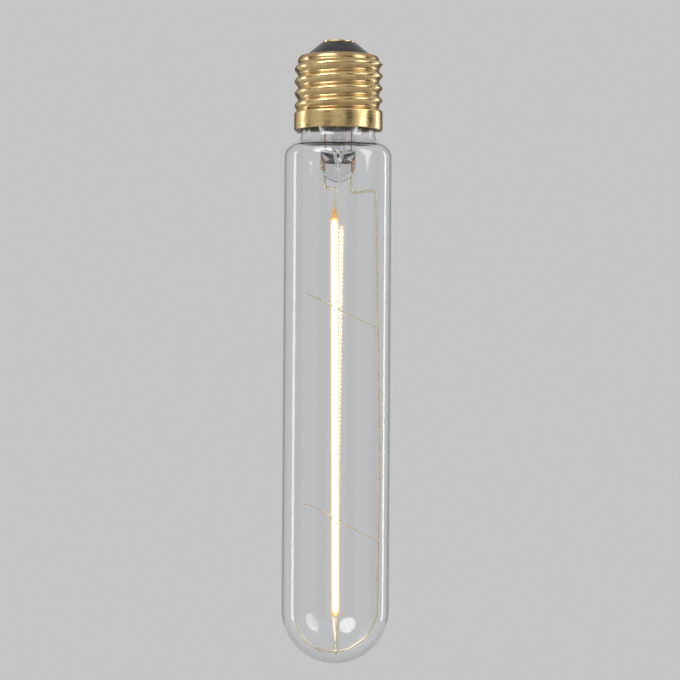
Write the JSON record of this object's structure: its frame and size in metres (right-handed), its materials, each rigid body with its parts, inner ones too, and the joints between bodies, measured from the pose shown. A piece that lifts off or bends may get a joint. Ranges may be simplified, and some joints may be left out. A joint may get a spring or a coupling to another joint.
{
  "type": "led filament bulb",
  "caption": "Tubular LED filament lamp with a threaded screw cap, clear glass tube, J-shaped support wire and a long glowing filament.",
  "frame": {"origin": "on the lamp's axis, at the flat top of the solder on the centre contact", "axes": "+Z along the lamp's axis, up out of the cap, so the lamp hangs down from the origin; +X towards the long run of the J-shaped support wire"},
  "size_m": [0.032, 0.032, 0.185],
  "materials": {
    "clear_glass": "clear blown glass",
    "stem_glass": "clear pressed glass",
    "nickel_wire": "drawn nickel-plated steel wire",
    "copper_wire": "bare copper wire",
    "filament_strip": "matt ceramic strip",
    "led_die": "LED dies",
    "phosphor": "phosphor in silicone, lit",
    "tab_metal": "stamped and plated metal",
    "cap_brass": "rolled brass sheet",
    "black_vitrite": "black glass insulator",
    "solder": "dull tin solder",
    "lamp_cement": "baked lamp cement",
    "sleeve_plastic": "moulded insulating sleeve",
    "board_laminate": "green board with solder mask",
    "chip_plastic": "moulded black package",
    "capacitor_sleeve": "shrunk plastic sleeve",
    "resistor_coat": "lacquered ceramic",
    "ceramic_capacitor": "fired ceramic"
  },
  "bodies": {
    "root": {"envelope": "clear_glass", "stem": "stem_glass", "exhaust_tube": "stem_glass", "dumet_seals": "copper_wire", "outer_lead_live": "copper_wire", "outer_lead_neutral": "copper_wire", "lead_short": "nickel_wire", "frame_wire": "nickel_wire", "anchor_upper": "nickel_wire", "anchor_lower": "nickel_wire", "filament_strip": "filament_strip", "filament_chips": "led_die", "phosphor_front": "phosphor", "phosphor_rear": "phosphor", "filament_tab_top": "tab_metal", "filament_tab_bottom": "tab_metal", "filament_hook": "nickel_wire", "screw_shell": "cap_brass", "cap_insulator": "black_vitrite", "centre_contact": "cap_brass", "centre_solder": "solder", "side_solder": "solder", "cement_ring": "lamp_cement", "driver_sleeve": "sleeve_plastic", "driver_board": "board_laminate", "bridge_rectifier": "chip_plastic", "driver_chip": "chip_plastic", "bulk_capacitor": "capacitor_sleeve", "fuse_resistor": "resistor_coat", "board_resistors": "chip_plastic", "board_capacitors": "ceramic_capacitor", "board_solder": "solder", "rim_wire": "copper_wire"}
  },
  "joints": []
}
